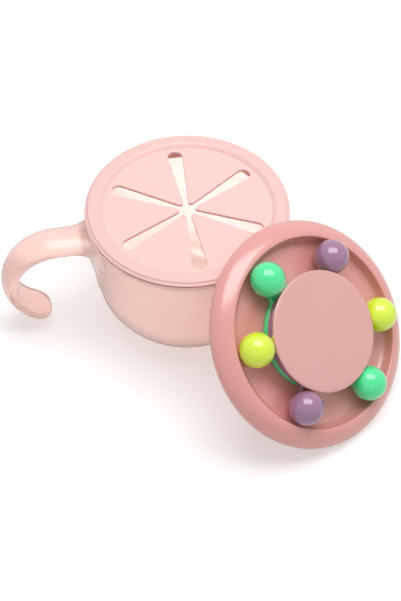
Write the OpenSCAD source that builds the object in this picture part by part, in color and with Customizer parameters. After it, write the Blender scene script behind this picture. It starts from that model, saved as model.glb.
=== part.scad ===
// Toddler snack container: a translucent cup with a hook handle and a soft star-cut snack lid,
// and its spinning-ball lid taken off and leaning on the cup's rim.
// Millimetres. The cup stands on z = 0 with its axis on the Z axis.

/* [Cup] */
// Height from the floor to the top of the snack lid
cup_h = 66.6; // [58:0.2:90]
// Outer radius of the rim flange and of the snack lid
rim_r = 48; // [44:0.5:56]
// Wall thickness of the cup
wall = 1.9; // [1.2:0.1:3]
// Radius of the round between the base and the wall
bowl_r = 24.8; // [12:0.2:28]
// Thickness of the rim flange
flange_t = 2; // [1.4:0.1:3.2]

/* [Hook handle] */
// Width of the strap
handle_w = 16.6; // [12:0.2:22]
// Thickness of the strap
handle_t = 5.4; // [4:0.2:7.5]
// Radius of the hook along the middle of the strap
hook_r = 22.7; // [16:0.1:24]
// How far the hook turns from straight out
hook_turn = 170; // [120:1:180]
// Turn of the handle away from the minus X axis
handle_side = 10; // [0:1:25]

/* [Snack lid] */
// How far the soft top lies below the ring's top
recess = 1.5; // [0.6:0.1:2.4]
// Thickness of the soft top and its petals
petal_t = 1.6; // [1:0.1:2.2]
// Half of the slot width at its round outer end
slot_end = 3.4; // [2.2:0.1:4.6]
// Half of the slot width near the middle
slot_tip = 1.15; // [0.8:0.05:1.8]
// Radius of the rounded tip of each petal
tip_round = 1.5; // [0.6:0.1:2.4]

/* [Spinner lid] */
// How far the lid leans back from lying flat
lid_tilt = 45; // [35:0.2:60]
// Direction in which the front of the lid faces
lid_face = -40.5; // [-60:0.2:-20]
// Width of the raised rim, from its lip to its widest line
rim_w = 8.1; // [6.5:0.1:9]
// Height of the rim from its lip to its widest line
rim_drop = 7; // [5:0.2:9]
// Depth of the dish below the lip
dish_d = 6; // [4:0.1:7.5]
// Wall thickness of the lid
lid_t = 1.6; // [1.2:0.1:2.4]

/* [Spinner] */
// Width of each ring's band
ring_w = 8.2; // [5:0.1:11]
// Thickness of each ring
ring_t = 3.35; // [2.4:0.05:3.6]
// Radius of each ball
ball_r = 8.15; // [6.5:0.05:8.2]
// Room between the balls and the lip of the raised rim
ball_room = 0.7; // [0.5:0.05:1.5]
// Length of the neck between a ring and its balls
neck_l = 2.2; // [2:0.1:4]
// How far the middle cap reaches over the rings
cap_over = 2.6; // [1:0.1:2.6]
// Direction of the green arm in the lid
green_turn = 192.4; // [180:0.2:200]
// Direction of the yellow arm in the lid
yellow_turn = 246.9; // [240:0.2:254]
// Direction of the purple arm in the lid
purple_turn = 308.7; // [300:0.2:320]

/* [Hidden] */
$fn = 120;
e = 0.01;

// ---- cup sizes that follow from the ones above
flange_w = 4.1;
neck_r = rim_r - flange_w;
wall_lean = 0.5;
base_r = neck_r - wall_lean - bowl_r;
collar_h = 2.6;
flange_z = cup_h - collar_h;
mouth_r = neck_r - wall;
handle_drop = 12.5;
handle_z = cup_h - handle_drop;
strap_l = 18.5;
hook_x = neck_r + strap_l;
strap_edge = 2.2;
strap_flat = 0.6;
strap_c = min(strap_edge, (handle_t - strap_flat)/2);
flare_r = 9;
neck_round = 1.8;
mouth_h = 7;

// ---- snack lid sizes
gap = 0.3;
seat_gap = 0.25;
lid_low = flange_z + seat_gap;
bead_r = 2.1;
plug_r = mouth_r - gap;
plug_w = 2.1;
plug_h = 6;
snap_r = 0.5;
hole_r = plug_r - plug_w;
tongue_w = 0.9;
tongue_t = 1;
seam = 0.05;
mem_r = hole_r + tongue_w;
mem_z = cup_h - recess;
slot_rim = 13.8;
slot_r = rim_r - slot_rim;
slot_in = 4;
slots_at = 40;
chord = slot_r*cos(30);
taper = atan((slot_end - slot_tip)/(slot_r - slot_in));
side_a = 30 - taper;
apex_x = slot_in*cos(30) + slot_tip*sin(30) - (slot_in*sin(30) - slot_tip*cos(30))/tan(side_a);
root_half = slot_r/2 - slot_end - 2*seam;

// ---- spinner lid sizes, in the lid's own frame: lip at z = 0, front face towards +z
skirt_h = 3.6;
skirt_t = 1.8;
skirt_tuck = 2.8;
skirt_fit = 0.2;
skirt_z = -rim_drop - skirt_h;
skirt_in = rim_r + skirt_fit;
skirt_out = skirt_in + skirt_t;
lid_r = skirt_out + skirt_tuck;
lip_r = lid_r - rim_w;
rim_bend = 1.25;
lip_edge = 0.8;
dish_in = lip_r - lip_edge;
dish_round = 4.5;
ball_ring = lip_r - ball_room - ball_r;
ring_r = ball_ring - ball_r - neck_l;
cap_r = ring_r + cap_over;
ring_in = ring_r - ring_w;
post_r = ring_in - gap;
green_z = -dish_d + gap;
purple_z = green_z + ring_t + gap;
yellow_z = purple_z + ring_t + gap;
post_top = yellow_z + ring_t + seat_gap;
cap_low = post_top + seam;
cap_step = 0.75;
cap_edge_z = cap_low + cap_step;
cap_t = 1.2;
cap_top = cap_edge_z + cap_t;
stem_r = 8;
stem_t = 1.8;
snap_hole = stem_r + 2*seam;
ball_lift = 0.45;
ball_z = -dish_d + ball_lift + ball_r;
ball_wall = 1.2;
neck_half = 3.2;
neck_fillet = 3;
arm_half = neck_half + 0.8*neck_fillet;

// ---- where the spinner lid stands: its lowest edge on the floor, its back against the snack lid
lean_gap = 0.25;
lean_side = -43.9;
back_edges = concat([[skirt_in, skirt_z], [lid_r, -rim_drop]],
  tuck_curve(lid_r, skirt_out, -rim_drop, skirt_z, 6));
lid_z = max([for (p = back_edges) p[0]*sin(lid_tilt) - p[1]*cos(lid_tilt)]);
lx = [cos(lid_tilt)*cos(lid_face), cos(lid_tilt)*sin(lid_face), -sin(lid_tilt)];
ly = [-sin(lid_face), cos(lid_face), 0];
lz = [sin(lid_tilt)*cos(lid_face), sin(lid_tilt)*sin(lid_face), cos(lid_tilt)];
function lid_point(p, t) = p[0]*cos(t)*lx + p[0]*sin(t)*ly + p[1]*lz;
function under_top(z) = cup_h - lid_z - z;
function cup_width(d) = d < bead_r ? rim_r - bead_r + sqrt(max(0, bead_r*bead_r - pow(bead_r - d, 2)))
  : d < collar_h + flange_t + 0.4 ? rim_r : neck_r;
function clear_at(w) =
  let (d = under_top(w[2]), s = cup_width(max(0, d)) + lean_gap,
    along = w[0]*cos(lean_side) + w[1]*sin(lean_side),
    q = along*along - w[0]*w[0] - w[1]*w[1] + s*s)
  d < -lean_gap || q < 0 ? 0 : sqrt(q) - along;
edge_out = max([for (p = back_edges) for (t = [0:2:358]) clear_at(lid_point(p, t))]);
// The collar also stays clear of the dish's underside where it reaches into the lid's hollow back
turned = cos(lean_side - lid_face);
collar_top = sin(lid_tilt)*(rim_r - bead_r) + cos(lid_tilt)*(cup_h - bead_r) + bead_r;
under_out = (collar_top + dish_d + lid_t + lean_gap - lid_z*cos(lid_tilt))/(sin(lid_tilt)*turned);
under_x = cos(lid_tilt)*(rim_r - bead_r - under_out*turned) - sin(lid_tilt)*(cup_h - bead_r - lid_z);
lid_out = max(edge_out, abs(under_x) < skirt_in ? under_out : 0);
lid_x = lid_out*cos(lean_side);
lid_y = lid_out*sin(lean_side);

// ================= cup
module cup_outer_2d() {
  intersection() {
    union() {
      translate([base_r, bowl_r]) circle(bowl_r);
      square([base_r, bowl_r]);
      polygon([[0, bowl_r], [base_r + bowl_r, bowl_r], [neck_r, flange_z - flange_t],
        [neck_r, flange_z - e], [0, flange_z - e]]);
    }
    square([rim_r*2, cup_h]);
  }
  translate([0, flange_z - flange_t]) square([rim_r - flange_t/2, flange_t]);
  translate([rim_r - flange_t/2, flange_z - flange_t/2]) circle(flange_t/2);
  difference() {
    translate([neck_r - neck_round/9, flange_z - flange_t - neck_round])
      square([neck_round*10/9, neck_round + e]);
    translate([neck_r + neck_round, flange_z - flange_t - neck_round]) circle(neck_round);
  }
}

module cup_inner_2d() {
  intersection() {
    union() {
      translate([base_r, bowl_r]) circle(bowl_r - wall);
      translate([0, wall]) square([base_r, bowl_r - wall]);
      polygon([[0, bowl_r], [base_r + bowl_r - wall, bowl_r], [mouth_r, flange_z - mouth_h],
        [mouth_r, flange_z + 1], [0, flange_z + 1]]);
    }
    square([rim_r*2, cup_h]);
  }
}

// Cross-section of the strap, with rounded edges
module strap_2d() {
  square([handle_w - 2*strap_c, handle_t], center = true);
  square([handle_w, handle_t - 2*strap_c], center = true);
  for (sx = [-1, 1]) for (sy = [-1, 1])
    translate([sx*(handle_w/2 - strap_c), sy*(handle_t/2 - strap_c)]) circle(strap_c);
}

// The turned part of the strap, its free end rounded like a tongue
module hook() {
  tongue = handle_w/2/hook_r*180/PI;
  translate([hook_x, 0, handle_z - hook_r]) difference() {
    rotate([90, 0, 0]) rotate([0, 0, 87 - hook_turn]) rotate_extrude(angle = hook_turn + 3)
      translate([hook_r, 0]) rotate(90) strap_2d();
    rotate([0, hook_turn - tongue, 0]) difference() {
      translate([0, -handle_w, hook_r/2]) cube([2*handle_w, 2*handle_w, hook_r]);
      cylinder(h = 2*hook_r, r = handle_w/2);
    }
  }
}

// Cuts the concave, round-edged side of the flare where the strap meets the cup
module flare_cut() {
  rotate_extrude() {
    translate([0, -handle_t]) square([flare_r, 2*handle_t]);
    for (s = [-1, 1]) difference() {
      translate([flare_r - e, s*(handle_t/2 + 0.5) - strap_c/2 - 0.5])
        square([strap_c + e, strap_c + 1]);
      translate([flare_r + strap_c, s*(handle_t/2 - strap_c)]) circle(strap_c);
    }
  }
}

module handle() {
  rotate([0, 0, 180 + handle_side]) {
    translate([neck_r - 1, 0, handle_z]) rotate([90, 0, 90])
      linear_extrude(hook_x - neck_r + 1) strap_2d();
    translate([hook_x, 0, handle_z])
      cube([3, handle_w - 2*strap_c, handle_t - 1], center = true);
    hook();
    difference() {
      translate([neck_r - 3, -handle_w/2 - flare_r, handle_z - handle_t/2])
        cube([flare_r + 3, handle_w + 2*flare_r, handle_t]);
      for (s = [-1, 1]) translate([neck_r + flare_r, s*(handle_w/2 + flare_r), handle_z]) flare_cut();
    }
  }
}

module cup() {
  color([0.93, 0.79, 0.76, 0.85])
    difference() {
      union() {
        rotate_extrude() cup_outer_2d();
        handle();
      }
      rotate_extrude() cup_inner_2d();
    }
}

// ================= snack lid
module snack_lid_ring() {
  color([0.99, 0.82, 0.81])
    rotate_extrude() difference() {
      union() {
        translate([hole_r, lid_low]) square([rim_r - bead_r - hole_r, cup_h - lid_low]);
        intersection() {
          translate([rim_r - bead_r, cup_h - bead_r]) circle(bead_r);
          translate([hole_r, lid_low]) square([rim_r, bead_r*2]);
        }
        translate([hole_r, flange_z - plug_h]) square([plug_r - snap_r - hole_r, plug_h + 2*seat_gap]);
        for (z = plug_h*[0.77, 0.4]) translate([plug_r - snap_r, flange_z - z]) circle(snap_r);
      }
      translate([hole_r - tongue_w, mem_z - petal_t/2 - tongue_t/2 - seam])
        square([2*tongue_w + 4*seam, tongue_t + 2*seam]);
      polygon([[hole_r - e, flange_z - plug_h - e], [hole_r + plug_w*0.38, flange_z - plug_h - e],
        [hole_r - e, flange_z - plug_h + plug_w*0.38]]);
    }
}

module slot_2d() {
  polygon([[0, -slot_tip], [slot_in, -slot_tip], [slot_r, -slot_end], [slot_r, slot_end],
    [slot_in, slot_tip], [0, slot_tip]]);
  translate([slot_r, 0]) circle(slot_end, $fn = 48);
}

module snack_lid_membrane() {
  color([0.99, 0.84, 0.83])
    difference() {
      union() {
        translate([0, 0, mem_z - petal_t]) cylinder(h = petal_t, r = hole_r - seam);
        translate([0, 0, mem_z - petal_t/2 - tongue_t/2]) cylinder(h = tongue_t, r = mem_r);
      }
      translate([0, 0, mem_z - petal_t - 1]) linear_extrude(petal_t + 2) {
        polygon([for (k = [0:5]) slot_r*[cos(slots_at + 60*k), sin(slots_at + 60*k)]]);
        for (k = [0:5]) rotate(slots_at + 60*k) translate([slot_r, 0]) circle(slot_end, $fn = 48);
      }
      for (k = [0:5]) rotate([0, 0, slots_at + 30 + 60*k])
        translate([chord, 0, mem_z - petal_t/2]) rotate([90, 0, 0])
          cylinder(h = slot_r - slot_end, r = petal_t/2 + gap, center = true, $fn = 48);
    }
}

// One petal, pointing to the middle from its root at x = chord
module petal_2d() {
  turn_x = apex_x + tip_round*cos(side_a)*cos(side_a)/sin(side_a);
  intersection() {
    difference() {
      polygon([[0, 0], [chord, -chord*tan(30)], [chord, chord*tan(30)]]);
      for (s = [-30, 30]) rotate(s) slot_2d();
    }
    union() {
      translate([apex_x + tip_round/sin(side_a), 0]) circle(tip_round, $fn = 36);
      translate([turn_x, -rim_r]) square([rim_r, 2*rim_r]);
    }
  }
}

module petal(k) {
  color([0.99, 0.84, 0.83])
    rotate([0, 0, slots_at + 30 + 60*k]) {
      translate([0, 0, mem_z - petal_t]) linear_extrude(petal_t) petal_2d();
      translate([chord, 0, mem_z - petal_t/2]) rotate([90, 0, 0])
        cylinder(h = 2*root_half, r = petal_t/2, center = true, $fn = 48);
    }
}

// ================= spinner lid
module place_lid() {
  translate([lid_x, lid_y, lid_z]) rotate([0, lid_tilt, lid_face]) children();
}

function rim_curve(r0, r1, z0, z1, n) =
  [for (i = [0:n]) let (t = 90*i/n)
    [r0 + (r1 - r0)*pow(sin(t), rim_bend), z0 + (z1 - z0)*(1 - pow(cos(t), rim_bend))]];
function tuck_curve(r0, r1, z0, z1, n) =
  [for (i = [1:n]) let (t = 90*i/n) [r0 + (r1 - r0)*(1 - cos(t)), z0 + (z1 - z0)*sin(t)]];
function back(v) = [for (i = [len(v) - 1:-1:0]) v[i]];
function corner(cx, cz, r, a0, a1, n) =
  [for (i = [0:n]) let (a = a0 + (a1 - a0)*i/n) [cx + r*cos(a), cz + r*sin(a)]];

module spinner_lid_shell() {
  outer = concat(rim_curve(lip_r, lid_r, 0, -rim_drop, 14),
    tuck_curve(lid_r, skirt_out, -rim_drop, skirt_z, 6));
  inner = concat(rim_curve(lip_r + 0.61*skirt_t, lid_r - skirt_t, -1.22*skirt_t, -rim_drop, 10),
    tuck_curve(lid_r - skirt_t, skirt_in, -rim_drop, skirt_z, 5));
  dish = corner(dish_in - dish_round, -dish_d + dish_round, dish_round, -90, 0, 8);
  under = corner(dish_in - dish_round, -dish_d + dish_round, dish_round + lid_t, -90, -12, 8);
  color([0.86, 0.62, 0.61]) place_lid() rotate_extrude()
    polygon(concat([[post_r, -dish_d]], dish, [[lip_r - 0.44*lip_edge, -0.31*lip_edge]], outer,
      back(inner), back(under),
      [[post_r - lid_t*1.25, -dish_d - lid_t], [post_r - lid_t*1.25, post_top - stem_t],
      [snap_hole, post_top - stem_t], [snap_hole, post_top], [post_r, post_top]]));
}

module hub_cap() {
  color([0.89, 0.67, 0.66]) place_lid() rotate_extrude() {
    cap_c = cap_t/3;
    barb_z = post_top - stem_t;
    translate([0, cap_low]) square([ring_r - cap_c, cap_step + cap_t/6]);
    translate([0, cap_edge_z]) square([cap_r - cap_c, cap_t]);
    translate([0, cap_edge_z]) square([cap_r, cap_t - cap_c]);
    translate([cap_r - cap_c, cap_top - cap_c]) circle(cap_c, $fn = 32);
    translate([stem_r - stem_t, barb_z - stem_t*1.45]) square([stem_t, cap_low - barb_z + stem_t*1.5]);
    polygon([[stem_r - stem_t/4, barb_z - stem_t*1.45], [stem_r, barb_z - stem_t*1.45],
      [stem_r + stem_t*0.39, barb_z - stem_t*0.45], [stem_r + stem_t*0.39, barb_z - stem_t*0.11],
      [stem_r - stem_t/4, barb_z - stem_t*0.11]]);
  }
}

// One ring with two arms, each ending in the lower half of a ball
module spinner_ring(z0) {
  pad_x = ball_ring - 0.43*ball_r;
  half_box = ball_r + 2;
  difference() {
    union() {
      translate([0, 0, z0]) cylinder(h = ring_t, r = ring_r);
      for (s = [0, 180]) rotate([0, 0, s]) {
        translate([0, 0, z0]) linear_extrude(ring_t) difference() {
          union() {
            translate([ring_r - 2.5, -arm_half]) square([pad_x - ring_r + 2.5, 2*arm_half]);
            translate([pad_x, 0]) circle(arm_half, $fn = 48);
          }
          for (y = [-1, 1]) translate([ring_r + neck_l, y*(neck_half + neck_fillet)])
            circle(neck_fillet, $fn = 48);
        }
        intersection() {
          translate([ball_ring, 0, ball_z]) sphere(ball_r, $fn = 64);
          translate([ball_ring - half_box, -half_box, ball_z - half_box])
            cube([2*half_box, 2*half_box, half_box]);
        }
        translate([ball_ring, 0, ball_z - 1]) cylinder(h = 2, r = ball_r - ball_wall + 0.1, $fn = 64);
      }
    }
    translate([0, 0, z0 - 1]) cylinder(h = ring_t + 2, r = ring_in);
    for (s = [0, 180]) rotate([0, 0, s]) {
      translate([ball_ring, 0, ball_z]) sphere(ball_r - ball_wall, $fn = 64);
      translate([ball_ring, 0, ball_z]) cylinder(h = 3, r = ball_r - ball_wall - 0.5, $fn = 64);
      difference() {
        intersection() {
          translate([ball_ring, 0, ball_z]) sphere(ball_r + 0.1, $fn = 64);
          translate([ball_ring - half_box, -half_box, ball_z]) cube([2*half_box, 2*half_box, half_box]);
        }
        translate([ball_ring, 0, ball_z - 1]) cylinder(h = 2, r = ball_r - ball_wall + 0.1, $fn = 64);
      }
    }
  }
}

module ring_green() {
  color([0.36, 0.88, 0.6]) place_lid() rotate([0, 0, green_turn]) spinner_ring(green_z);
}

module ring_purple() {
  color([0.6, 0.46, 0.61]) place_lid() rotate([0, 0, purple_turn]) spinner_ring(purple_z);
}

module ring_yellow() {
  color([0.85, 0.95, 0.3]) place_lid() rotate([0, 0, yellow_turn]) spinner_ring(yellow_z);
}

// The upper half of a ball, closed over the lip of the lower half
module ball_top(turn, shade) {
  color(shade) place_lid() rotate([0, 0, turn]) translate([ball_ring, 0, ball_z]) difference() {
    sphere(ball_r, $fn = 64);
    sphere(ball_r - ball_wall, $fn = 64);
    translate([-2*ball_r, -2*ball_r, -4*ball_r + 0.08]) cube(4*ball_r);
    cylinder(h = 1.1, r = ball_r - ball_wall + 0.2, $fn = 64);
  }
}

cup();
snack_lid_ring();
snack_lid_membrane();
petal(0);  // petal_1
petal(1);  // petal_2
petal(2);  // petal_3
petal(3);  // petal_4
petal(4);  // petal_5
petal(5);  // petal_6
spinner_lid_shell();
hub_cap();
ring_green();
ring_purple();
ring_yellow();
ball_top(green_turn, [0.36, 0.88, 0.6]);  // ball_top_green_a
ball_top(green_turn + 180, [0.36, 0.88, 0.6]);  // ball_top_green_b
ball_top(purple_turn, [0.6, 0.46, 0.61]);  // ball_top_purple_a
ball_top(purple_turn + 180, [0.6, 0.46, 0.61]);  // ball_top_purple_b
ball_top(yellow_turn, [0.85, 0.95, 0.3]);  // ball_top_yellow_a
ball_top(yellow_turn + 180, [0.85, 0.95, 0.3]);  // ball_top_yellow_b
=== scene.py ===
"""Toddler snack container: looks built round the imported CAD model. Sizes below are millimetres."""

import math

import bmesh
import bpy
from mathutils import Matrix, Vector
from mathutils.geometry import tessellate_polygon


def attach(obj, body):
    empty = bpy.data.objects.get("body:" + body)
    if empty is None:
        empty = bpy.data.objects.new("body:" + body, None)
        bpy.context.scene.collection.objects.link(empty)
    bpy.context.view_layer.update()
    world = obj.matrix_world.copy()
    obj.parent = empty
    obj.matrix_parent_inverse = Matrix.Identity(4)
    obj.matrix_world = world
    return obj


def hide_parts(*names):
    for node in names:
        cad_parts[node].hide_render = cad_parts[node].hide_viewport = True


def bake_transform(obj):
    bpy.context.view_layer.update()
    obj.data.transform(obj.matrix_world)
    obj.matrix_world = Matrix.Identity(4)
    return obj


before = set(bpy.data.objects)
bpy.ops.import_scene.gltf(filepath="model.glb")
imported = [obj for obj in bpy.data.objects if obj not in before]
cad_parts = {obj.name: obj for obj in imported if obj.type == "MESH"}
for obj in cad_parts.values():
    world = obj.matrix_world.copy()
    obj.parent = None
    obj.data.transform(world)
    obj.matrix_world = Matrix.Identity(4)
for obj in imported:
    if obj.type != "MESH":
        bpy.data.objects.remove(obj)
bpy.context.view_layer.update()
scene = bpy.context.scene
MM = 0.001

# ---------------------------------------------------------------- cup sizes, as in the CAD source
CUP_H, RIM_R, WALL, BOWL_R = 66.6, 48.0, 1.9, 24.8
FLANGE_T, FLANGE_W, COLLAR_H, WALL_LEAN, MOUTH_H = 2.0, 4.1, 2.6, 0.5, 7.0
NECK_R = RIM_R - FLANGE_W
BASE_R = NECK_R - WALL_LEAN - BOWL_R
FLANGE_Z = CUP_H - COLLAR_H
FLANGE_LOW = FLANGE_Z - FLANGE_T
MOUTH_R = NECK_R - WALL

# ---------------------------------------------------------------- handle sizes
# The hook's radius is 0.4 mm larger than in the CAD source and its strap 0.1 mm longer
HANDLE_W, HANDLE_T, HANDLE_DROP, HANDLE_SIDE = 16.6, 5.4, 12.5, 10.0
HOOK_R, HOOK_TURN, STRAP_L = 23.1, 170.0, 18.6
HANDLE_Z = CUP_H - HANDLE_DROP
HOOK_X = NECK_R + STRAP_L
# The strap's section: top of its sides and peak of its crown, as shares of its half thickness
SIDE_SHARE, PEAK_SHARE, STRAP_EDGE = 0.33, 1.42, 1.1
# At the wall the strap widens, thickens, hollows out below its sides and runs down into a blunt web
FLARE_R, FLARE_MAX, ROOT_R, UNDER_R = 12.0, 5.5, 2.4, 6.0
WEB_REACH, WEB_DEPTH, WEB_BLUNT, WEB_BOW, WEB_FADE = 6.6, 37.0, 5.0, 0.7, 1.1

# ---------------------------------------------------------------- snack lid sizes, as in the CAD source
GAP, SEAT_GAP, SEAM = 0.3, 0.25, 0.05
PLUG_W, PLUG_H = 2.1, 6.0
RECESS, PETAL_T, TIP_ROUND = 1.5, 1.6, 1.5
SLOT_END, SLOT_TIP, SLOT_RIM, SLOT_IN, SLOTS_AT = 3.4, 1.15, 13.8, 4.0, 40.0
LID_LOW = FLANGE_Z + SEAT_GAP
HOLE_R = MOUTH_R - GAP - PLUG_W
MEM_Z = CUP_H - RECESS
SLOT_R = RIM_R - SLOT_RIM
SEAM_R = SLOT_R + SLOT_END
HALF_PETAL = math.radians(30)
TAPER = math.atan((SLOT_END - SLOT_TIP) / (SLOT_R - SLOT_IN))
# A point on the slot's side, and from it the middle of the round at the petal's tip
SLOT_X = SLOT_IN * math.cos(HALF_PETAL) + SLOT_TIP * math.sin(HALF_PETAL)
SLOT_Y = SLOT_IN * math.sin(HALF_PETAL) - SLOT_TIP * math.cos(HALF_PETAL)
SIDE_ANGLE = HALF_PETAL - TAPER
TIP_C = SLOT_X - SLOT_Y / math.tan(SIDE_ANGLE) + TIP_ROUND / math.sin(SIDE_ANGLE)

# ---------------------------------------------------------------- spinner lid sizes, its lip at z = 0
# LID_C is the middle of the lip where the CAD source leans the lid on the snack lid
LID_C, LID_TILT, LID_FACE = (58.9319, -56.7115, 43.5051), 45.0, -40.5
LIP_R, LIP_EDGE, RIM_W, RIM_DROP, RIM_BEND = 44.7, 0.8, 8.1, 7.0, 1.25
DISH_D, DISH_ROUND, LID_T = 6.0, 4.5, 1.6
SKIRT_H, SKIRT_TUCK, SKIRT_T = 3.6, 2.8, 1.8
LID_R = LIP_R + RIM_W
SKIRT_Z, SKIRT_OUT = -RIM_DROP - SKIRT_H, LID_R - SKIRT_TUCK
SKIRT_IN = SKIRT_OUT - SKIRT_T
RING_W, RING_T, NECK_L, CAP_OVER = 8.2, 3.35, 2.2, 2.6
BALL_R, BALL_ROOM, BALL_LIFT = 8.15, 0.7, 0.45
BALL_RING = LIP_R - BALL_ROOM - BALL_R
RING_R = BALL_RING - BALL_R - NECK_L
RING_IN = RING_R - RING_W
POST_R = RING_IN - GAP
CAP_R, CAP_STEP, CAP_T = RING_R + CAP_OVER, 0.75, 1.2
STEM_R, STEM_T = 8.0, 1.8
GREEN_Z = -DISH_D + GAP
PURPLE_Z = GREEN_Z + RING_T + GAP
YELLOW_Z = PURPLE_Z + RING_T + GAP
POST_TOP = YELLOW_Z + RING_T + SEAT_GAP
CAP_LOW = POST_TOP + SEAM
CAP_EDGE_Z = CAP_LOW + CAP_STEP
CAP_TOP = CAP_EDGE_Z + CAP_T
BALL_Z = -DISH_D + BALL_LIFT + BALL_R
TURNS = {"green": 192.4, "purple": 308.7, "yellow": 246.9}
RING_Z = {"green": GREEN_Z, "purple": PURPLE_Z, "yellow": YELLOW_Z}

CUP_PLACE = Matrix.Identity(4)
LID_PLACE = (
    Matrix.Translation(Vector(LID_C))
    @ Matrix.Rotation(math.radians(LID_FACE), 4, "Z")
    @ Matrix.Rotation(math.radians(LID_TILT), 4, "Y")
)
# Faces that meet at a sharper angle than this, in degrees, keep a crisp edge
SHARP = 32.0


# ---------------------------------------------------------------- mesh helpers
def arc(cx, cz, r, a0, a1, n):
    """n + 1 points on an arc from a0 to a1, in degrees."""
    steps = [math.radians(a0 + (a1 - a0) * i / n) for i in range(n + 1)]
    return [(cx + r * math.cos(a), cz + r * math.sin(a)) for a in steps]


def hollow(radius, d):
    """How far a concave quarter round stands off its wall at a distance d from its start."""
    return radius - math.sqrt(radius**2 - (radius - d) ** 2)


def rounded(corners, step=9.0):
    """A closed outline with each corner (x, y, radius) rounded, a point every step degrees."""
    out, n = [], len(corners)
    for i, (x, y, r) in enumerate(corners):
        p = Vector((x, y))
        a = Vector(corners[i - 1][:2]) - p
        b = Vector(corners[(i + 1) % n][:2]) - p
        turn = a.angle(b, math.pi) if a.length and b.length else math.pi
        if r <= 0 or abs(math.pi - turn) < 1e-3:
            out.append((x, y))
            continue
        reach = min(r / math.tan(turn / 2), 0.49 * a.length, 0.49 * b.length)
        r = reach * math.tan(turn / 2)
        a.normalize()
        b.normalize()
        centre = p + (a + b).normalized() * (r / math.sin(turn / 2))
        u, v = p + a * reach - centre, p + b * reach - centre
        sweep = math.pi - turn
        count = max(2, int(math.degrees(sweep) / step))
        side = 1 if u.x * v.y - u.y * v.x > 0 else -1
        for k in range(count + 1):
            t = side * sweep * k / count
            c, s = math.cos(t), math.sin(t)
            out.append((centre.x + u.x * c - u.y * s, centre.y + u.x * s + u.y * c))
    return out


def smooth(mesh, sharp=SHARP):
    """Smooth shading, with crisp edges above sharp degrees."""
    mesh.shade_smooth()
    mesh.set_sharp_from_angle(angle=math.radians(sharp))


def finish_mesh(name, bm, place=CUP_PLACE, sharp=SHARP):
    """Turns a millimetre bmesh into an object at the origin, with its place worked into its mesh."""
    bmesh.ops.remove_doubles(bm, verts=bm.verts, dist=1e-4)
    bmesh.ops.dissolve_degenerate(bm, edges=bm.edges, dist=1e-5)
    bmesh.ops.recalc_face_normals(bm, faces=bm.faces)
    bm.transform(Matrix.Scale(MM, 4) @ place)
    mesh = bpy.data.meshes.new(name)
    bm.to_mesh(mesh)
    bm.free()
    smooth(mesh, sharp)
    obj = bpy.data.objects.new(name, mesh)
    scene.collection.objects.link(obj)
    return obj


def lathe_bm(profile, segments=224):
    """Turns a closed profile of (radius, z) round the z axis."""
    bm = bmesh.new()
    rows = []
    turns = [2 * math.pi * k / segments for k in range(segments)]
    for r, z in profile:
        if r < 1e-6:
            v = bm.verts.new((0, 0, z))
            rows.append([v] * segments)
        else:
            rows.append([bm.verts.new((r * math.cos(t), r * math.sin(t), z)) for t in turns])
    for i, row in enumerate(rows):
        other = rows[(i + 1) % len(rows)]
        if row[0] is row[1] and other[0] is other[1]:
            continue
        for k in range(segments):
            k2 = (k + 1) % segments
            corners = []
            for v in (row[k], row[k2], other[k2], other[k]):
                if v not in corners:
                    corners.append(v)
            if len(corners) > 2:
                bm.faces.new(corners)
    return bm


def join_rings(bm, rings):
    """Joins each closed ring of vertices to the next one with a band of faces."""
    for a, b in zip(rings, rings[1:]):
        for k in range(len(a)):
            k2 = (k + 1) % len(a)
            bm.faces.new((a[k], a[k2], b[k2], b[k]))


def inset_loop(points, amount):
    """A closed counter-clockwise outline moved inwards."""
    n, out = len(points), []
    for i, (x, y) in enumerate(points):
        before, after = Vector(points[i - 1]), Vector(points[(i + 1) % n])
        here = Vector((x, y))
        d1, d2 = (here - before).normalized(), (after - here).normalized()
        normal = Vector((-(d1.y + d2.y), d1.x + d2.x))
        if normal.length < 1e-6:
            normal = Vector((-d1.y, d1.x))
        normal.normalize()
        share = max(0.5, normal.dot(Vector((-d1.y, d1.x))))
        out.append(tuple(here + normal * (amount / share)))
    return out


def edge_layers(z0, z1, edge):
    """(inset, z) steps that round both edges of a plate, from the top down."""
    angles = (0, 0.52, 1.05, math.pi / 2)
    steps = [(edge * (1 - math.sin(a)), edge * (1 - math.cos(a))) for a in angles]
    top = [(i, z1 - d) for i, d in steps]
    return top + [(i, z0 + d) for i, d in reversed(steps)]


def plate_bm(outer, hole, z0, z1, edge):
    """A plate with a hole, both outlines counter-clockwise, its edges rounded."""
    bm = bmesh.new()
    layers = edge_layers(z0, z1, edge)

    def walls(loop, sign):
        rows = []
        for inset, z in layers:
            rows.append([bm.verts.new((x, y, z)) for x, y in inset_loop(loop, sign * inset)])
        join_rings(bm, rows)
        return rows

    rows_out, rows_in = walls(outer, 1), walls(hole, -1)
    for side in (0, -1):
        verts = rows_out[side] + rows_in[side]
        loops = [[v.co for v in rows_out[side]], [v.co for v in rows_in[side]]]
        for tri in tessellate_polygon(loops):
            bm.faces.new([verts[i] for i in tri])
    return bm


# ---------------------------------------------------------------- materials
# Index of refraction of the milky plastic, roughness of a sheen, scale of the polish's patches
# and depth of the surface grain in metres
MILKY_IOR, SHEEN_ROUGH, POLISH_SCALE, GRAIN_DEPTH = 1.25, 0.4, 60, 0.0001


def colour(r, g, b):
    """An sRGB colour of 0 to 255 as linear values."""
    return tuple(((c / 255 + 0.055) / 1.055) ** 2.4 for c in (r, g, b)) + (1.0,)


def math_node(tree, operation):
    """A new Math node."""
    node = tree.nodes.new("ShaderNodeMath")
    node.operation = operation
    return node


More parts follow.
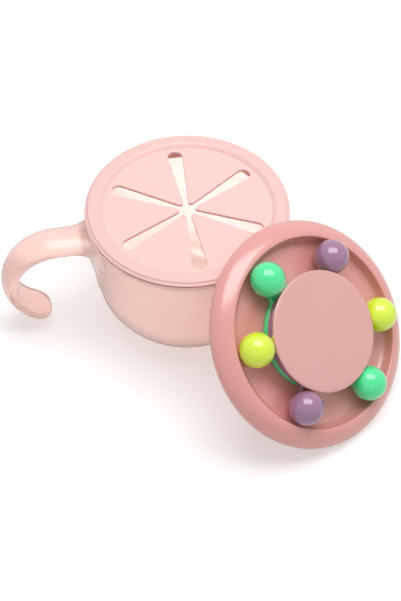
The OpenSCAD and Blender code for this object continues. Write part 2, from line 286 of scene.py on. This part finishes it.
def map_range(tree, source=(0.0, 1.0), result=(0.0, 1.0)):
    """A new Map Range node that carries one span of values over to another."""
    node = tree.nodes.new("ShaderNodeMapRange")
    for socket, value in zip(("From Min", "From Max", "To Min", "To Max"), source + result):
        node.inputs[socket].default_value = value
    return node


def thicker_tint(tree, coords, tint, thick):
    """The tint, deeper in the solid strap, which lies beyond the wall and below the flange."""
    place = tree.nodes.new("ShaderNodeSeparateXYZ")
    tree.links.new(coords.outputs["Object"], place.inputs["Vector"])
    share = math_node(tree, "MULTIPLY")
    spans = (("X", -NECK_R - 0.5, -NECK_R - 5), ("Z", FLANGE_Z - 2.2, FLANGE_Z - 4))
    for k, (axis, start, end) in enumerate(spans):
        reach = map_range(tree, (start * MM, end * MM))
        tree.links.new(place.outputs[axis], reach.inputs["Value"])
        tree.links.new(reach.outputs["Result"], share.inputs[k])
    deeper = tree.nodes.new("ShaderNodeMix")
    deeper.data_type = "RGBA"
    deeper.inputs["B"].default_value = colour(*thick)
    tree.links.new(share.outputs["Value"], deeper.inputs["Factor"])
    tree.links.new(tint, deeper.inputs["A"])
    return deeper.outputs["Result"]


def moulded(
    name, rgb, rough, shift=0.06, shade=0.03, flow=14.0, grain=0.0006, bump=0.05, specular=0.5,
    sss=0.0, radius=(1, 0.5, 0.4), coat=0.0, coat_rough=0.06, sheen=0.0,
    see_through=0.0, painted_glow=None, thick=None,
):
    """Moulded plastic: faint flow clouds in the colour, uneven polish, a fine surface grain and, if
    given, a painted glow.
    """
    mat = bpy.data.materials.new(name)
    mat.use_nodes = True
    nt = mat.node_tree
    bsdf = nt.nodes["Principled BSDF"]
    bsdf.inputs["Specular IOR Level"].default_value = specular
    if sss:
        bsdf.inputs["Subsurface Weight"].default_value = sss
        bsdf.inputs["Subsurface Radius"].default_value = radius
        bsdf.inputs["Subsurface Scale"].default_value = MM
    if see_through:
        bsdf.inputs["Transmission Weight"].default_value = see_through
        bsdf.inputs["IOR"].default_value = MILKY_IOR
    if painted_glow:
        # Painted glow: an emission that stands in for light the milky wall carries round from its other
        # side
        bsdf.inputs["Emission Color"].default_value = painted_glow + (1.0,)
        bsdf.inputs["Emission Strength"].default_value = 1.0
    if coat:
        bsdf.inputs["Coat Weight"].default_value = coat
        bsdf.inputs["Coat Roughness"].default_value = coat_rough
    if sheen:
        bsdf.inputs["Sheen Weight"].default_value = sheen
        bsdf.inputs["Sheen Roughness"].default_value = SHEEN_ROUGH
    coords = nt.nodes.new("ShaderNodeTexCoord")

    def noise(scale, detail, roughness=0.5):
        node = nt.nodes.new("ShaderNodeTexNoise")
        node.inputs["Scale"].default_value = scale
        node.inputs["Detail"].default_value = detail
        node.inputs["Roughness"].default_value = roughness
        nt.links.new(coords.outputs["Object"], node.inputs["Vector"])
        return node

    clouds = noise(flow, 3)
    ramp = nt.nodes.new("ShaderNodeValToRGB")
    base = colour(*rgb)
    dark, light = ramp.color_ramp.elements[0], ramp.color_ramp.elements[1]
    dark.position, light.position = 0.3, 0.7
    dark.color = tuple(c * (1 - shade) for c in base[:3]) + (1.0,)
    light.color = tuple(min(1, c * (1 + shade)) for c in base[:3]) + (1.0,)
    nt.links.new(clouds.outputs["Fac"], ramp.inputs["Fac"])
    tint = ramp.outputs["Color"]
    if thick:
        tint = thicker_tint(nt, coords, tint, thick)
    nt.links.new(tint, bsdf.inputs["Base Color"])
    polish = noise(POLISH_SCALE, 2)
    span = map_range(nt, result=(max(0.02, rough - shift), rough + shift))
    nt.links.new(polish.outputs["Fac"], span.inputs["Value"])
    nt.links.new(span.outputs["Result"], bsdf.inputs["Roughness"])
    fine = noise(1 / grain, 2, 0.6)
    bumps = nt.nodes.new("ShaderNodeBump")
    bumps.inputs["Strength"].default_value = bump
    bumps.inputs["Distance"].default_value = GRAIN_DEPTH
    nt.links.new(fine.outputs["Fac"], bumps.inputs["Height"])
    nt.links.new(bumps.outputs["Normal"], bsdf.inputs["Normal"])
    return mat


def glossy(name, rgb):
    """Hard, shiny plastic of the rings and balls."""
    return moulded(name, rgb, 0.2, shade=0.02, coat=1.0, bump=0.015)


MATS = {
    "cup": moulded(
        "milky_cup", (252, 232, 226), 0.34, shift=0.04, shade=0.01, bump=0.03, specular=0.15,
        sss=1.0, radius=(20.0, 14.0, 12.0), coat=1.0, coat_rough=0.03, sheen=0.12,
        # The cup's faint glow is painted light, standing in for light carried through its milky wall
        see_through=0.7, painted_glow=(0.085, 0.06, 0.054), thick=(212, 180, 174),
    ),
    "lid_ring": moulded("lid_ring_plastic", (245, 202, 197), 0.32, shade=0.01),
    "membrane": moulded("soft_membrane", (249, 206, 201), 0.6, shade=0.01, bump=0.09, sheen=0.05),
    "spinner_lid": moulded(
        "rose_plastic", (233, 160, 154), 0.25, shift=0.04, shade=0.02, bump=0.03,
        sss=0.15, radius=(4.0, 1.2, 1.0), coat=1.0, coat_rough=0.2,
    ),
    "hub_cap": moulded(
        "rose_cap", (229, 168, 164), 0.3, shade=0.02, bump=0.04, coat=1.0, coat_rough=0.1
    ),
    "green": glossy("mint_plastic", (66, 240, 154)),
    "purple": glossy("mauve_plastic", (161, 114, 151)),
    "yellow": glossy("lime_plastic", (227, 252, 46)),
}


def dress(obj, slot, body, *nodes):
    """Gives a piece its material and slot, the body that it rides on and the nodes it stands for."""
    obj.data.materials.clear()
    obj.data.materials.append(MATS[slot])
    if nodes:
        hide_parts(*nodes)
    if body:
        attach(obj, body)


# ---------------------------------------------------------------- cup with its hook handle
def cup_profile():
    """The cup's section: foot, bowl, wall and flange, then down the inside to its raised middle."""
    foot_h, foot_w, fillet_r, edge_r, step_h = 0.5, 2.4, 1.0, 0.5, 0.25
    outer = [(0, foot_h), (BASE_R - foot_w - 1, foot_h)]
    outer += arc(BASE_R - foot_w, foot_h, foot_h, 180, 270, 5)
    outer += arc(BASE_R, BOWL_R, BOWL_R, -90, 0, 48)
    outer += [(NECK_R - WALL_LEAN / 2, (BOWL_R + FLANGE_Z) / 2), (NECK_R, FLANGE_LOW - fillet_r)]
    outer += arc(NECK_R + fillet_r, FLANGE_LOW - fillet_r, fillet_r, 180, 90, 6)[1:]
    outer += arc(RIM_R - edge_r, FLANGE_LOW + edge_r, edge_r, -90, 0, 6)
    outer += arc(RIM_R - edge_r, FLANGE_Z - edge_r, edge_r, 0, 90, 6)
    inner = arc(MOUTH_R + edge_r, FLANGE_Z - edge_r, edge_r, 90, 180, 4)
    inner += [(MOUTH_R, FLANGE_Z - MOUTH_H), (BASE_R + BOWL_R - WALL, BOWL_R)]
    inner += arc(BASE_R, BOWL_R, BOWL_R - WALL, 0, -90, 44)[1:]
    inner += [(BASE_R - 4, WALL), (BASE_R - 4.6, WALL + step_h)]
    inner += [(BASE_R - 5.4, WALL + step_h), (0, WALL + step_h)]
    return outer + inner


def strap_section(half_w, half_t, drop, web, count=64):
    """The strap's section, counter-clockwise: a crowned outer face, soft edges and an inner face that
    is flat, or near the wall runs out into a blunt web."""
    low, side, peak = -half_t, SIDE_SHARE * half_t, PEAK_SHARE * half_t
    crown = (half_w**2 + (peak - side) ** 2) / (2 * (peak - side))
    reach = math.degrees(math.asin(min(1.0, half_w / crown)))
    top = arc(0, peak - crown, crown, 90 - reach, 90 + reach, 24)
    edge = min(STRAP_EDGE, 0.45 * half_t, 0.3 * half_w)
    outline = [(x, y, edge * 1.6 if k in (0, len(top) - 1) else 0) for k, (x, y) in enumerate(top)]
    low_edge = min(edge + 0.9 * drop, 0.6 * half_w)
    outline += [(-half_w, low - drop, low_edge), (0, low - max(web, drop), WEB_BLUNT)]
    outline += [(half_w, low - drop, low_edge)]
    points = [Vector(q) for q in rounded(outline, 15)]
    lengths = [0.0]
    for k in range(len(points)):
        lengths.append(lengths[-1] + (points[(k + 1) % len(points)] - points[k]).length)
    out, k = [], 0
    for i in range(count):
        at = lengths[-1] * i / count
        while lengths[k + 1] < at:
            k += 1
        share = (at - lengths[k]) / max(1e-9, lengths[k + 1] - lengths[k])
        out.append(points[k].lerp(points[(k + 1) % len(points)], share))
    return out


def handle_bm():
    """The strap, swept from inside the wall straight out, round the hook and to its round end."""
    bm = bmesh.new()
    rings = []
    hook_l = HOOK_R * math.radians(HOOK_TURN)
    total = STRAP_L + hook_l
    round_end = HANDLE_W / 2
    # Distances along the strap from the wall, close together where its section changes quickly
    stations = [-1.3, -0.6, -0.2, 0, 0.08, 0.2, 0.4, 0.8, 1.3, 1.8, 2.4, 3.2, 4.2, 5.4]
    stations += [6.6, 7.8, 9, 10.5, 12, 15]
    stations += [STRAP_L + hook_l * k / 64 for k in range(65)]
    stations = [s for s in stations if s < total - round_end]
    tip_angles = list(range(0, 90, 6)) + [87, 89]
    stations += [total - round_end * (1 - math.sin(math.radians(a))) for a in tip_angles]
    for s in stations:
        outside = max(0.0, s)
        half_w, half_t, drop, web = HANDLE_W / 2, HANDLE_T / 2, 0.0, 0.0
        if s < WEB_REACH:
            web = WEB_DEPTH * (1 - (outside / WEB_REACH) ** WEB_BOW) ** WEB_FADE
        if s < UNDER_R:
            drop = hollow(UNDER_R, outside)
        if s < FLARE_R:
            half_w += min(FLARE_MAX, hollow(FLARE_R, outside))
        if s < ROOT_R:
            half_t += hollow(ROOT_R, outside)
        end = s - (total - round_end)
        if end > 0:
            half_w *= math.sqrt(max(0.0, 1 - (end / round_end) ** 2))
            near = max(0.0, end - (round_end - half_t)) / half_t
            half_t *= math.sqrt(max(0.0, 1 - near**2))
            half_w, half_t = max(half_w, 0.03), max(half_t, 0.02)
        if s <= STRAP_L:
            centre, out = Vector((NECK_R + s, 0, HANDLE_Z)), Vector((0, 0, 1))
        else:
            a = math.radians(90) - (s - STRAP_L) / HOOK_R
            out = Vector((math.cos(a), 0, math.sin(a)))
            centre = Vector((HOOK_X, 0, HANDLE_Z - HOOK_R)) + out * HOOK_R
        ring = []
        wrap = max(0.0, 1 - outside / FLARE_R) ** 1.5
        for y, up in strap_section(half_w, half_t, drop, web):
            p = centre + Vector((0, y, 0)) + out * up
            # Near the wall the strap follows its round, and the web that of the bowl below it
            p.x -= wrap * (NECK_R - math.sqrt(NECK_R**2 - min(y * y, NECK_R**2 * 0.9)))
            if s < WEB_REACH and p.z < BOWL_R:
                p.x -= hollow(BOWL_R, p.z)
            ring.append(bm.verts.new(p))
        rings.append(ring)
    join_rings(bm, rings)
    bm.faces.new(rings[0][::-1])
    bm.faces.new(rings[-1])
    bm.transform(Matrix.Rotation(math.radians(180 + HANDLE_SIDE), 4, "Z"))
    return bm


def joined(a, b):
    """Object a with object b cut into one skin with it."""
    mod = a.modifiers.new("join", "BOOLEAN")
    mod.operation, mod.solver, mod.object = "UNION", "EXACT", b
    graph = bpy.context.evaluated_depsgraph_get()
    mesh = bpy.data.meshes.new_from_object(a.evaluated_get(graph))
    a.modifiers.clear()
    a.data = mesh
    bpy.data.objects.remove(b)
    smooth(mesh)
    return a


cup = joined(
    finish_mesh("cup_body", lathe_bm(cup_profile())), finish_mesh("hook", handle_bm())
)
dress(cup, "cup", "cup", "cup")


# ---------------------------------------------------------------- snack lid
def snack_ring_profile():
    """The stiff ring's section: inner lip, flat top, bevelled edge, groove floor and plug."""
    plug_out, plug_low = MOUTH_R - 0.8, FLANGE_Z - PLUG_H
    groove_r = RIM_R - 1.7
    corners = [
        (HOLE_R + 0.1, MEM_Z + SEAM, 0.5),
        (HOLE_R + 2.0, CUP_H, 2.0),
        (RIM_R - 1.75, CUP_H, 0.15),
        (RIM_R - 1.35, CUP_H - 0.75, 0.2),
        (RIM_R + 0.1, CUP_H - 1.55, 0.15),
        (RIM_R - 0.9, CUP_H - 1.7, 0.1),
        (groove_r, CUP_H - 2.0, 0.1),
        (groove_r, FLANGE_Z + 0.16, 0.05),
        (RIM_R - 0.3, FLANGE_Z + 0.12, 0.04),
        (RIM_R - 0.3, FLANGE_Z + 0.03, 0.02),
        (RIM_R - 2.2, FLANGE_Z + 0.03, 0),
        (RIM_R - 2.4, LID_LOW, 0.1),
        (plug_out, LID_LOW, 0),
        (plug_out, plug_low, 0.4),
        (HOLE_R + 0.8, plug_low, 0.2),
        (HOLE_R, plug_low + 0.8, 0.2),
        (HOLE_R, MEM_Z - 0.3, 0),
        (HOLE_R + 0.1, MEM_Z - 0.3, 0),
    ]
    return rounded(corners, 8)


ring = finish_mesh("lid_ring", lathe_bm(snack_ring_profile()))
dress(ring, "lid_ring", "snack_lid", "snack_lid_ring")


def petal_side(radius, inset):
    """Half of a petal's angle at a radius, its outline moved inwards by inset."""
    half = SLOT_TIP + (radius - SLOT_IN) * math.tan(TAPER) + inset
    side = HALF_PETAL - math.asin(min(1.0, half / radius))
    end = SLOT_END + inset
    if radius > SLOT_R:
        cos_off = (radius**2 + SLOT_R**2 - end**2) / (2 * radius * SLOT_R)
        in_slot = cos_off < 1 and radius < SLOT_R + end
        side = HALF_PETAL - (math.acos(max(-1.0, cos_off)) if in_slot else 0.0)
    tip = TIP_ROUND - inset
    cos_tip = (radius**2 + TIP_C**2 - tip**2) / (2 * radius * TIP_C)
    if radius < TIP_C:
        side = min(side, math.acos(max(-1.0, min(1.0, cos_tip))))
    return max(0.0, side)


def petal_bm():
    """One sixth of the soft top: a petal with its share of the disc round it, pointing along +x."""
    bm = bmesh.new()
    outer_r, cols, petal_edge, row_step = HOLE_R + 0.6, 16, 0.32, 1.15
    # Distances from the petal's tip, close together where its outline turns quickly
    rows = [0, 0.02, 0.07, 0.16, 0.3, 0.5, 0.8, 1.2, 1.7, 2.4, 3.4, 4.6, 6, 7.5]
    rows += [9 + row_step * k for k in range(int((SLOT_R - TIP_C - 7.5) / row_step))]
    sheets = []
    for inset, z in edge_layers(MEM_Z - PETAL_T, MEM_Z, petal_edge):
        start = TIP_C - TIP_ROUND + inset
        radii = [start + r * (1 - 0.02 * inset) for r in rows]
        radii = [r for r in radii if r < SLOT_R - 0.3]
        round_end = [(SLOT_END + inset) * math.sin(math.radians(a)) for a in range(0, 90, 10)]
        radii += [SLOT_R + r for r in round_end] + [SEAM_R + inset, outer_r]
        sheets.append((z, [(r, petal_side(r, inset)) for r in radii]))
    count = min(len(edge) for _, edge in sheets)
    sheets = [(z, edge[:count]) for z, edge in sheets]

    def face_sheet(z, edge, flip):
        grid = []
        for r, side in edge:
            angles = [side * (2 * c / cols - 1) for c in range(cols + 1)]
            grid.append([bm.verts.new((r * math.cos(a), r * math.sin(a), z)) for a in angles])
        for a, b in zip(grid, grid[1:]):
            for c in range(cols):
                quad = (a[c], a[c + 1], b[c + 1], b[c])
                bm.faces.new(quad[::-1] if flip else quad)
        return grid

    top = face_sheet(*sheets[0], False)
    low = face_sheet(*sheets[-1], True)
    for end, sign in ((0, -1), (cols, 1)):
        lines = [[row[end] for row in top]]
        for z, edge in sheets[1:-1]:
            points = [(r * math.cos(s), sign * r * math.sin(s), z) for r, s in edge]
            lines.append([bm.verts.new(p) for p in points])
        lines.append([row[end] for row in low])
        for a, b in zip(lines, lines[1:]):
            for k in range(count - 1):
                bm.faces.new((a[k], a[k + 1], b[k + 1], b[k]))
    for c in range(cols):
        bm.faces.new((top[-1][c], top[-1][c + 1], low[-1][c + 1], low[-1][c]))
    return bm


for k in range(6):
    turn = math.radians(SLOTS_AT + 30 + 60 * k)
    petal = finish_mesh(f"soft_petal_{k + 1}", petal_bm(), Matrix.Rotation(turn, 4, "Z"))
    nodes = [f"petal_{k + 1}"] + (["snack_lid_membrane"] if k == 0 else [])
    dress(petal, "membrane", None, *nodes)
    way = Vector((math.cos(turn), math.sin(turn), 0))
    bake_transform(petal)


# ---------------------------------------------------------------- spinner lid
def rim_curve(r0, r1, z0, z1, n):
    """Points on the rim's full round, from its lip out and down to its widest line."""
    out = []
    for i in range(n + 1):
        t = math.pi / 2 * i / n
        down = 1 - max(0.0, math.cos(t)) ** RIM_BEND
        out.append((r0 + (r1 - r0) * math.sin(t) ** RIM_BEND, z0 + (z1 - z0) * down))
    return out


def tuck_curve(r0, r1, z0, z1, n):
    """Points on the skirt, which tucks in below the widest line."""
    out = []
    for i in range(1, n + 1):
        t = math.pi / 2 * i / n
        out.append((r0 + (r1 - r0) * (1 - math.cos(t)), z0 + (z1 - z0) * math.sin(t)))
    return out


def shell_profile():
    """The shell's section: dish, lip, rim and skirt, then back inside to the hollow post."""
    round_r, round_z = LIP_R - LIP_EDGE - DISH_ROUND, -DISH_D + DISH_ROUND
    hollow_r, under_z = LID_R - SKIRT_T, -DISH_D - LID_T
    post_in, post_edge, snap_hole = POST_R - 2, 0.4, STEM_R + 2 * SEAM
    return (
        [(POST_R + 0.6, -DISH_D)]
        + arc(round_r, round_z, DISH_ROUND, -90, 0, 16)
        + [(LIP_R - 0.55, -0.6), (LIP_R - 0.38, -0.22), (LIP_R - 0.16, -0.05)]
        + rim_curve(LIP_R, LID_R, 0, -RIM_DROP, 40)[1:]
        + tuck_curve(LID_R, SKIRT_OUT, -RIM_DROP, SKIRT_Z, 12)
        + tuck_curve(hollow_r, SKIRT_IN, -RIM_DROP, SKIRT_Z, 10)[::-1]
        + rim_curve(LIP_R + 1.1, hollow_r, -2.2, -RIM_DROP, 24)[::-1]
        + arc(round_r, round_z, DISH_ROUND + LID_T, -12, -90, 12)
        + [(post_in, under_z), (post_in, POST_TOP - STEM_T), (snap_hole, POST_TOP - STEM_T)]
        + [(snap_hole, POST_TOP), (POST_R - post_edge, POST_TOP)]
        + [(POST_R, POST_TOP - post_edge), (POST_R, -DISH_D + 0.25)]
    )


def cap_profile():
    """The cap's section: a slightly crowned top with a soft edge, and the stem that snaps in below."""
    crown, edge_r = 0.7, 0.8
    dome_r = CAP_R**2 / (2 * crown)
    reach = math.degrees(math.asin((CAP_R - edge_r - 0.05) / dome_r))
    stem_in, snap_r, stem_low = STEM_R - STEM_T, STEM_R + 0.7, POST_TOP - 4.4
    return (
        arc(0, CAP_TOP + crown / 2 - dome_r, dome_r, 90, 90 - reach, 20)
        + arc(CAP_R - edge_r, CAP_TOP - crown / 2 - edge_r, edge_r, 84, 0, 8)
        + [(CAP_R, CAP_EDGE_Z + 0.2), (CAP_R - 0.2, CAP_EDGE_Z), (RING_R - 0.2, CAP_EDGE_Z)]
        + [(RING_R - 0.5, CAP_LOW), (STEM_R, CAP_LOW), (STEM_R, POST_TOP - 1.9)]
        + [(snap_r, POST_TOP - 2.1), (snap_r, POST_TOP - 2.6), (STEM_R, stem_low)]
        + [(stem_in, stem_low), (stem_in, CAP_LOW + 0.6), (0, CAP_LOW + 0.6)]
    )


shell = finish_mesh("lid_shell", lathe_bm(shell_profile(), 288), LID_PLACE)
dress(shell, "spinner_lid", "spinner_lid", "spinner_lid_shell")
cap = finish_mesh("hub_cap_bare", lathe_bm(cap_profile(), 240), LID_PLACE)
dress(cap, "hub_cap", "spinner_lid", "hub_cap")


def ring_outline():
    """A spinner ring from above: the ring, two necks with hollow sides and the pads under the balls."""
    neck, fillet, pad = 3.2, 3.0, 4.3
    cx, cy = RING_R + NECK_L, neck + fillet
    join = math.degrees(math.atan2(cy, cx))
    lean = math.degrees(math.asin((cy - pad) / fillet))
    half = arc(BALL_RING - 4.6, 0, pad, 0, 90, 12)
    half += arc(cx, cy, fillet, -lean, -180 + join, 20)
    half += arc(0, 0, RING_R, join + 0.8, 90, 44)
    top = half + [(-x, y) for x, y in reversed(half)][1:]
    return top + [(x, -y) for x, y in reversed(top)][1:-1]


def ball_profile():
    """Half of a ball's outline, with a fine groove where its two shells meet."""
    seam_angle, seam_depth = 0.35, 0.07
    lower = arc(0, 0, BALL_R, -90, -seam_angle, 40)
    upper = arc(0, 0, BALL_R, seam_angle, 90, 40)
    profile = lower + [(BALL_R - seam_depth, 0)] + upper
    profile[0], profile[-1] = (0, -BALL_R), (0, BALL_R)
    return profile


for tone, turn in TURNS.items():
    body, low = f"{tone}_spinner", RING_Z[tone]
    hole = arc(0, 0, RING_IN, 0, 360, 160)[:-1]
    place = LID_PLACE @ Matrix.Rotation(math.radians(turn), 4, "Z")
    plate = plate_bm(ring_outline(), hole, low, low + RING_T, 0.7)
    spinner = finish_mesh(f"spinner_{tone}", plate, place)
    dress(spinner, tone, body, f"ring_{tone}")
    for side, label in ((0, "a"), (180, "b")):
        way = Matrix.Rotation(math.radians(side), 4, "Z")
        ball_place = place @ way @ Matrix.Translation((BALL_RING, 0, BALL_Z))
        ball = finish_mesh(f"ball_{tone}_{label}", lathe_bm(ball_profile(), 96), ball_place, sharp=60)
        dress(ball, tone, body, f"ball_top_{tone}_{label}")

# ---------------------------------------------------------------- floor, light and camera
FLOOR_HALF, FLOOR_Z = 6000.0, -0.02
# The floor's colour where light bounces off it and where the camera sees it, and that of its glow
FLOOR_BOUNCE, FLOOR_SEEN = (0.86, 0.855, 0.85, 1), (0.67, 0.7, 0.715, 1)
FLOOR_GLOW = (1.0, 0.937, 0.91, 1)
# Strength of the glow that the camera sees near the object, and of that seen through milky plastic
FLOOR_LIFT, FLOOR_THROUGH = 0.455, 1.2
# Distances in metres over which the floor runs out into the white background
FADE_START, FADE_END = 0.45, 2.5
# Painted shade under the cup: seen through the cup's base, the floor keeps this share of that glow
CUP_SHADE_SHARE = 0.55
# Strength of the world as fill light, and as seen through milky plastic
WORLD_FILL, WORLD_THROUGH = 0.42, 1.8


def seen_through(tree, path):
    """1 on rays that reach the camera through plastic without a diffuse bounce, otherwise 0."""
    first, both = math_node(tree, "LESS_THAN"), math_node(tree, "MULTIPLY")
    first.inputs[1].default_value = 0.5
    tree.links.new(path.outputs["Diffuse Depth"], first.inputs[0])
    tree.links.new(path.outputs["Is Transmission Ray"], both.inputs[0])
    tree.links.new(first.outputs["Value"], both.inputs[1])
    return both.outputs["Value"]


def floor_material():
    """White floor with a glow, strongest far away and weaker where it is seen through the base, a
    painted shade under the cup.
    """
    mat = bpy.data.materials.new("floor_white")
    mat.use_nodes = True
    nt = mat.node_tree
    nt.nodes.remove(nt.nodes["Principled BSDF"])
    path = nt.nodes.new("ShaderNodeLightPath")
    diffuse = nt.nodes.new("ShaderNodeBsdfDiffuse")
    tone = nt.nodes.new("ShaderNodeMix")
    tone.data_type = "RGBA"
    tone.inputs["A"].default_value, tone.inputs["B"].default_value = FLOOR_BOUNCE, FLOOR_SEEN
    nt.links.new(path.outputs["Is Camera Ray"], tone.inputs["Factor"])
    nt.links.new(tone.outputs["Result"], diffuse.inputs["Color"])
    spot, away = nt.nodes.new("ShaderNodeTexCoord"), nt.nodes.new("ShaderNodeVectorMath")
    away.operation = "LENGTH"
    nt.links.new(spot.outputs["Object"], away.inputs[0])
    fade = map_range(nt, (FADE_START, FADE_END), (FLOOR_LIFT, 1.0))
    # Painted shade: the glow seen through the cup is dimmed near its middle, under the cup
    under = map_range(nt, (0.5 * NECK_R * MM, 1.5 * NECK_R * MM), (CUP_SHADE_SHARE, 1.0))
    for span in (fade, under):
        nt.links.new(away.outputs["Value"], span.inputs["Value"])
    lift, shadowed = math_node(nt, "MULTIPLY"), math_node(nt, "MULTIPLY")
    nt.links.new(path.outputs["Is Camera Ray"], lift.inputs[0])
    nt.links.new(fade.outputs["Result"], lift.inputs[1])
    nt.links.new(seen_through(nt, path), shadowed.inputs[0])
    nt.links.new(under.outputs["Result"], shadowed.inputs[1])
    through = math_node(nt, "MULTIPLY_ADD")
    through.inputs[1].default_value = FLOOR_THROUGH
    nt.links.new(shadowed.outputs["Value"], through.inputs[0])
    nt.links.new(lift.outputs["Value"], through.inputs[2])
    glow, add = nt.nodes.new("ShaderNodeEmission"), nt.nodes.new("ShaderNodeAddShader")
    glow.inputs["Color"].default_value = FLOOR_GLOW
    nt.links.new(through.outputs["Value"], glow.inputs["Strength"])
    nt.links.new(diffuse.outputs["BSDF"], add.inputs[0])
    nt.links.new(glow.outputs["Emission"], add.inputs[1])
    nt.links.new(add.outputs["Shader"], nt.nodes["Material Output"].inputs["Surface"])
    return mat


def studio_world():
    """White world: full for the camera and in reflections, dimmer as fill light."""
    world = bpy.data.worlds.new("studio")
    world.use_nodes = True
    wt = world.node_tree
    background = wt.nodes["Background"]
    background.inputs["Color"].default_value = (1.0, 1.0, 1.0, 1.0)
    path = wt.nodes.new("ShaderNodeLightPath")
    seen = math_node(wt, "MAXIMUM")
    wt.links.new(path.outputs["Is Camera Ray"], seen.inputs[0])
    wt.links.new(path.outputs["Is Glossy Ray"], seen.inputs[1])
    level = map_range(wt, result=(WORLD_FILL, 1.0))
    wt.links.new(seen.outputs["Value"], level.inputs["Value"])
    beyond = math_node(wt, "MULTIPLY_ADD")
    beyond.inputs[1].default_value = WORLD_THROUGH - WORLD_FILL
    wt.links.new(seen_through(wt, path), beyond.inputs[0])
    wt.links.new(level.outputs["Result"], beyond.inputs[2])
    wt.links.new(beyond.outputs["Value"], background.inputs["Strength"])
    return world


bm = bmesh.new()
bmesh.ops.create_grid(bm, x_segments=1, y_segments=1, size=FLOOR_HALF)
floor = finish_mesh("floor", bm, Matrix.Translation((0, 0, FLOOR_Z)))
floor.data.materials.append(floor_material())
scene.world = studio_world()

# A softbox above the object that faces straight down, in metres and watts
lamp = bpy.data.lights.new("overhead", "AREA")
lamp.shape, lamp.size, lamp.size_y, lamp.energy = "RECTANGLE", 1.0, 0.65, 8.1
overhead = bpy.data.objects.new("overhead", lamp)
scene.collection.objects.link(overhead)
overhead.location = (0.18, 0.05, 1.05)

FOCAL_PX, LONG_SIDE, SENSOR = 2147.2, 601, 36.0
AIM, ELEVATION, DISTANCE = Vector((6.2, -33.23, 38.32)), math.radians(49.866), 1000.0
back = Vector((0, -math.cos(ELEVATION), math.sin(ELEVATION)))
camera = bpy.data.objects.new("camera", bpy.data.cameras.new("camera"))
scene.collection.objects.link(camera)
camera.data.sensor_width = SENSOR
camera.data.lens = FOCAL_PX * SENSOR / LONG_SIDE
camera.location = (AIM + back * DISTANCE) * MM
camera.rotation_mode = "QUATERNION"
camera.rotation_quaternion = (-back).to_track_quat("-Z", "Y")
scene.camera = camera
scene.view_settings.view_transform = "Standard"
